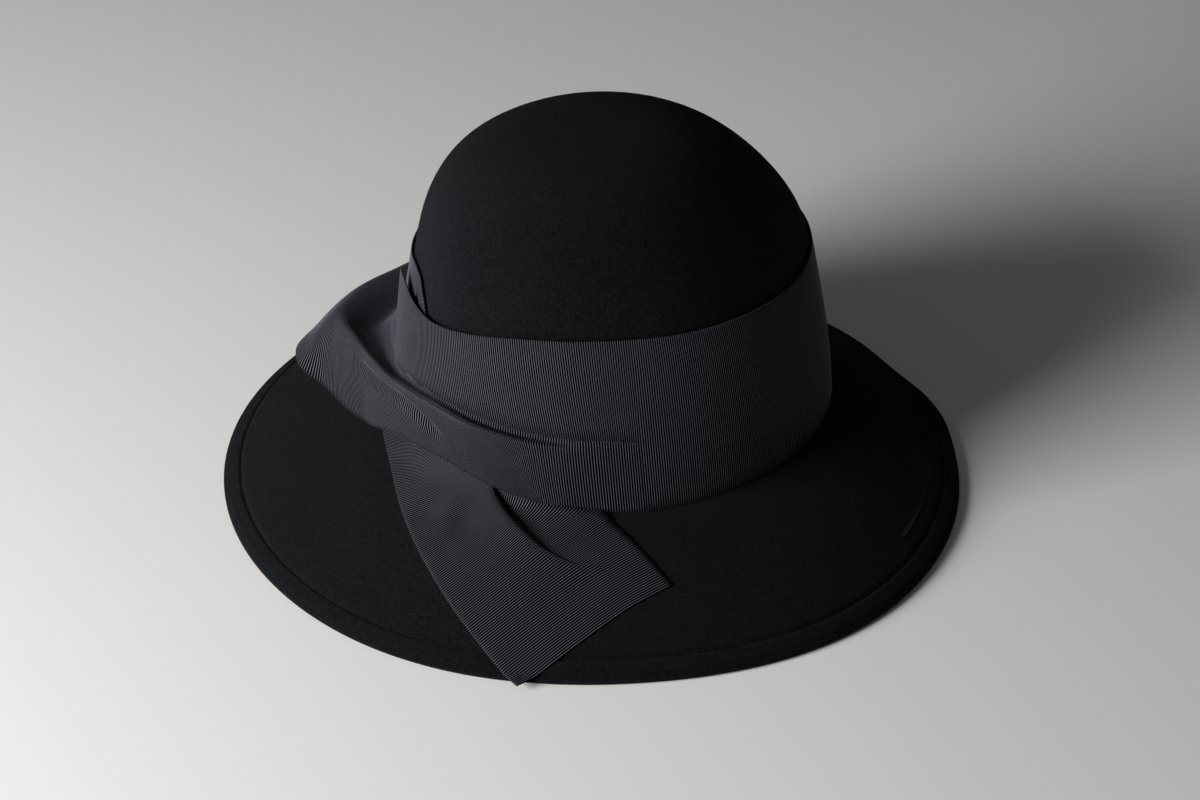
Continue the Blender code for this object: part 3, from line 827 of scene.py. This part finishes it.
# rib, then the right edge, which the crown's wall cuts off
TAIL_RIGHT = (
    (-1, 106.6, -75.6),
    (42, 63.6, -72.0),
    (50, 56.0, -79.5),
    (60, 45.0, -86.5),
    (72, 32.0, -92.5),
    (80, 24.0, -95.0),
)
TAIL_RIBS = 164
LEFT_STEPS = 20
RIGHT_STEPS = 9
FOLD_START = 21
FOLD_GROWN = 62
FOLD_HEIGHT = 5.0 * MM
TAIL_REST = 0.38 * MM
ROOT_START = 80.0
ROOT_GROWN = 90.0
ROOT_DEPTH = 1.5 * MM
# the fold's turn: millimetres past the ridge, share of its height
FOLD_TURN = ((0.7, 0.88), (1.0, 0.62), (0.5, 0.30), (-0.6, 0.08))
# the end climbs the crown under the drape: rib, then lifts in millimetres of the left edge, of the ridge,
# of the root and of the right edge
TAIL_CLIMB = (
    (36, 0.0, 0.0, 0.0, 0.0),
    (50, 0.0, 0.0, 0.0, 3.5),
    (60, 0.0, 0.0, 0.0, 5.0),
    (70, 0.0, 0.0, 9.0, 7.5),
    (80, 0.0, 1.2, 11.0, 9.5),
    (88, 0.0, 3.2, 13.0, 11.0),
    (104, 0.6, 3.0, 14.0, 11.0),
    (127, 2.0, 3.0, 14.0, 11.0),
    (151, 4.0, 1.5, 10.0, 11.0),
    (166, 4.5, 0.5, 8.0, 11.0),
)
# dimples: x, y in millimetres from the crown's axis, size in millimetres, depth in millimetres
TAIL_DIMPLES = (
    (22.3, -112.5, 6.0, -1.3),
    (13.9, -110.0, 6.0, 1.1),
    (0.8, -112.8, 8.0, 0.8),
    (6.5, -118.5, 5.0, -0.8),
)


def plan_path(table, at):
    """Plan points of a table of (rib, x, y) in millimetres, in metres from the crown's axis."""
    return np.stack([smooth_column(table, 1, at), smooth_column(table, 2, at)], axis=-1) * MM


def straight_between(start, end, shares):
    """Points from start to end at the given shares of the way, as a new axis 0."""
    share = np.asarray(shares)[:, None, None]
    return start[None] * (1 - share) + end[None] * share


def make_tail():
    """Grid of (across, rib). The height over the brim rises to the fold and drops to the brim beyond it."""
    ribs = np.arange(-0.5, TAIL_RIBS, 1 / RIB_STEPS)
    tables = (TAIL_LEFT, TAIL_RIDGE, TAIL_UNDER, TAIL_RIGHT)
    left, ridge, under, right = (plan_path(table, ribs) for table in tables)
    grown = rise_between(ribs, FOLD_START - 6.0, FOLD_GROWN)
    outwards = (ridge - left) / np.linalg.norm(ridge - left, axis=-1, keepdims=True)
    shares = np.concatenate([[0.0, 0.012], np.linspace(0.05, 1, LEFT_STEPS - 2)])
    turn = []
    for share, (past, _) in zip(np.linspace(0.2, 0.8, len(FOLD_TURN)), FOLD_TURN):
        base = ridge * (1 - share) + under * share
        turn.append(base + outwards * (past * MM * grown * FOLD_HEIGHT / (3.5 * MM))[:, None])
    plan = np.concatenate([
        straight_between(left, ridge, shares),
        np.array(turn),
        straight_between(under, right, np.linspace(0, 1, RIGHT_STEPS)),
    ])
    rise = np.concatenate([
        0.16 * shares + 0.84 * shares**3.4,
        [height for _, height in FOLD_TURN],
        np.zeros(RIGHT_STEPS),
    ])
    lifts = (smooth_column(TAIL_CLIMB, column, ribs) * MM for column in (1, 2, 3, 4))
    edge_lift, more, root_lift, right_lift = lifts
    ridge_lift = FOLD_HEIGHT * grown + more
    rooted = rise_between(ribs, ROOT_START, ROOT_GROWN)
    lift = edge_lift + (ridge_lift - edge_lift) * rise[:, None]
    climb = np.linspace(0, 1, len(plan) - LEFT_STEPS + 1)[1:, None]
    lift[LEFT_STEPS:] = ridge_lift * rise[LEFT_STEPS:, None] * (1 - rooted)
    lift[-RIGHT_STEPS:] += right_lift * np.linspace(0, 1, RIGHT_STEPS)[:, None] ** 3 * (1 - rooted)
    lift[LEFT_STEPS:] += (ridge_lift + (root_lift - ridge_lift) * climb) * rooted
    inwards = -ridge / np.linalg.norm(ridge, axis=-1, keepdims=True)
    wall = ridge[None] + inwards[None] * (ROOT_DEPTH * np.sqrt(climb))[..., None]
    plan[LEFT_STEPS:] += (wall - plan[LEFT_STEPS:]) * rooted[None, :, None]
    for x, y, size, depth in TAIL_DIMPLES:
        apart = ((plan[..., 0] / MM - x) ** 2 + (plan[..., 1] / MM - y) ** 2) / size**2
        lift = lift + depth * MM * np.exp(-apart)
    radius = np.linalg.norm(plan, axis=-1)
    angle = np.degrees(np.arctan2(plan[..., 0], -plan[..., 1]))
    out = radius - crown_radius(angle, 0.0)
    up = brim_up(angle, out) + TAIL_REST + lift
    grid = place(angle, radius, up)
    across = np.linspace(0, 1, len(plan))[:, None] + 0 * ribs
    uv = np.stack([ribs + 0 * across, across * RIBBON_WIDTH / RIB_PITCH], axis=-1)
    relief = rib_relief(ribs) * (across > 0)
    return make_cloth("ribbon_end", grid, np.array([0.0, 0.0, 1.0]), relief, uv, RIBBON_FINISH)


ribbon_end = make_tail()
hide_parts("ribbon_tail")
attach(ribbon_end, "root")

# %% [markdown]
# ## Fuzz and lint
# Felt sheds short hairs, which roughen its outline and speckle its face, and a dark hat picks up pale lint.
# Each hair is a closed needle with three sides, set on a random place of the felt's outer face and leaning
# over. Drawing the places by area keeps the hair even; a fixed seed keeps it the same each time.

# %% Fuzz and lint
FUZZ_COUNT = 42000
LINT_COUNT = 150
FUZZ_LENGTH = (0.5 * MM, 1.5 * MM)
FUZZ_WIDTH = 0.035 * MM
LINT_LENGTH = (0.4 * MM, 1.1 * MM)
LINT_WIDTH = 0.06 * MM
HAIR_LEAN = (0.05, 0.35)
HAIR_CLOUD = 900.0
HAIR_FIBRE = 2000.0


def outer_places(count, draw):
    """Random points of the felt's outer face and the normals there, drawn in proportion to area."""
    angle, radius, up = felt_rows()
    grid = place(angle, radius, up)[: CROWN_ROWS + 50]
    grid = np.concatenate([grid, grid[:, :1]], axis=1)
    across = np.diff(grid, axis=1)[:-1]
    down = np.diff(grid, axis=0)[:, :-1]
    normal = np.cross(across, down).reshape(-1, 3)
    area = np.linalg.norm(normal, axis=1)
    normal /= np.maximum(area, 1e-15)[:, None]
    chosen = draw.choice(len(area), count, p=area / area.sum())
    a, b = draw.random((2, count, 1))
    point = grid[:-1, :-1].reshape(-1, 3)[chosen]
    point = point + a * across.reshape(-1, 3)[chosen] + b * down.reshape(-1, 3)[chosen]
    normal = normal[chosen]
    middle = np.array([-MIDDLE_X, -MIDDLE_Y, BRIM_DROP])
    up_out = np.where(point[:, 2:] > BRIM_DROP, point - middle, [0.0, 0.0, 1.0])
    return point, normal * np.sign((normal * up_out).sum(1, keepdims=True))


def make_hairs(name, count, seed, length, width, lean, material):
    """Needles from a random place: three points round the root and one at the tip."""
    draw = np.random.default_rng(seed)
    root, normal = outer_places(count, draw)
    side = np.cross(normal, draw.normal(size=(count, 3)))
    side /= np.linalg.norm(side, axis=1, keepdims=True)
    rise = draw.uniform(*lean, (count, 1))
    along = normal * rise + side * np.sqrt(1 - rise**2)
    across = np.cross(along, normal)
    across /= np.linalg.norm(across, axis=1, keepdims=True)
    other = np.cross(along, across)
    turn = np.array([0.0, math.tau / 3, math.tau * 2 / 3])[None, :, None]
    ring = root[:, None] + width * (across[:, None] * np.cos(turn) + other[:, None] * np.sin(turn))
    tip = root + along * draw.uniform(*length, (count, 1))
    points = np.concatenate([ring, tip[:, None]], axis=1).reshape(-1, 3)
    sides = np.array([(0, 1, 3), (1, 2, 3), (2, 0, 3), (0, 2, 1)])
    if np.cross(other[0], across[0]) @ along[0] > 0:
        sides = sides[:, ::-1]
    faces = (np.arange(count)[:, None, None] * 4 + sides).reshape(-1, 3)
    return make_piece(name, points, faces.tolist(), material)


FUZZ_DARK = (0.0060, 0.0066, 0.0084)
FUZZ_LIGHT = (0.0420, 0.0445, 0.0520)
LINT_DARK = (0.060, 0.058, 0.055)
LINT_LIGHT = (0.110, 0.105, 0.100)
FUZZ_FINISH = felt_material("felt hairs", FUZZ_DARK, FUZZ_LIGHT, HAIR_CLOUD, HAIR_FIBRE)
LINT_FINISH = felt_material("pale lint", LINT_DARK, LINT_LIGHT, HAIR_CLOUD, HAIR_FIBRE)
felt_fuzz = make_hairs("felt_fuzz", FUZZ_COUNT, 11, FUZZ_LENGTH, FUZZ_WIDTH, HAIR_LEAN, FUZZ_FINISH)
lint = make_hairs("lint", LINT_COUNT, 12, LINT_LENGTH, LINT_WIDTH, HAIR_LEAN, LINT_FINISH)
for piece in (felt_fuzz, lint):
    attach(piece, "root")

# %% [markdown]
# ## Floor, light and camera
# A pale floor, one broad lamp low in front and a little to the left, and a weak sky: felt this dark needs
# one strong low light, or its form is lost. The camera stands at the photograph's angle with a long lens.

# %% Floor
FLOOR_SIZE = 6.0


def make_floor():
    """A pale matt square on the ground."""
    tree, shader, material = new_material("pale floor")
    shader.inputs["Base Color"].default_value = (0.86, 0.86, 0.86, 1.0)
    shader.inputs["Roughness"].default_value = 0.9
    shader.inputs["Specular IOR Level"].default_value = 0.1
    half = FLOOR_SIZE / 2
    points = np.array([(-half, -half, 0), (half, -half, 0), (half, half, 0), (-half, half, 0)], float)
    return make_piece("floor", points, [(0, 1, 2, 3)], material)


make_floor()

# %% Camera
LENS = 85.0
SENSOR = 36.0
CAMERA_AZIMUTH = math.radians(45.0)
CAMERA_ELEVATION = math.radians(33.0)
CAMERA_PLACE = (0.7344, -0.7284, 0.7055)


def camera_axes():
    """Right, up and backward directions of the camera."""
    back = np.array([
        math.sin(CAMERA_AZIMUTH) * math.cos(CAMERA_ELEVATION),
        -math.cos(CAMERA_AZIMUTH) * math.cos(CAMERA_ELEVATION),
        math.sin(CAMERA_ELEVATION),
    ])
    right = np.array([math.cos(CAMERA_AZIMUTH), math.sin(CAMERA_AZIMUTH), 0.0])
    return right, np.cross(back, right), back


def make_camera():
    """The scene's camera, with a long lens, at its place."""
    right, up, back = camera_axes()
    data = bpy.data.cameras.new("camera")
    data.lens = LENS
    data.sensor_width = SENSOR
    camera = bpy.data.objects.new("camera", data)
    matrix = np.eye(4)
    matrix[:3, 0] = right
    matrix[:3, 1] = up
    matrix[:3, 2] = back
    matrix[:3, 3] = CAMERA_PLACE
    camera.matrix_world = matrix.T.tolist()
    bpy.context.scene.collection.objects.link(camera)
    bpy.context.scene.camera = camera


make_camera()


# %% Light
def add_lamp(name, position, target, size, power, colour):
    """A square area lamp that faces its target."""
    data = bpy.data.lights.new(name, "AREA")
    data.shape = "SQUARE"
    data.size = size
    data.energy = power
    data.color = colour
    lamp = bpy.data.objects.new(name, data)
    back = np.array(position, float) - np.array(target, float)
    back /= np.linalg.norm(back)
    side = np.cross([0.0, 0.0, 1.0], back)
    side /= np.linalg.norm(side)
    matrix = np.eye(4)
    matrix[:3, 0] = side
    matrix[:3, 1] = np.cross(back, side)
    matrix[:3, 2] = back
    matrix[:3, 3] = position
    lamp.matrix_world = matrix.T.tolist()
    bpy.context.scene.collection.objects.link(lamp)


LAMP_PLACE = (-0.290, -1.380, 0.573)
LAMP_TARGET = (0.0, 0.0, 0.06)
LAMP_SIZE = 0.7
LAMP_POWER = 36.0
LAMP_COLOUR = (1.0, 0.985, 0.97)
SKY_COLOUR = (0.92, 0.95, 1.0, 1.0)
SKY_STRENGTH = 0.07
add_lamp("window", LAMP_PLACE, LAMP_TARGET, LAMP_SIZE, LAMP_POWER, LAMP_COLOUR)
world = bpy.data.worlds.new("studio")
world.use_nodes = True
world.node_tree.nodes["Background"].inputs["Color"].default_value = SKY_COLOUR
world.node_tree.nodes["Background"].inputs["Strength"].default_value = SKY_STRENGTH
bpy.context.scene.world = world
bpy.context.scene.view_settings.view_transform = "Standard"
print("lamp and sky set")
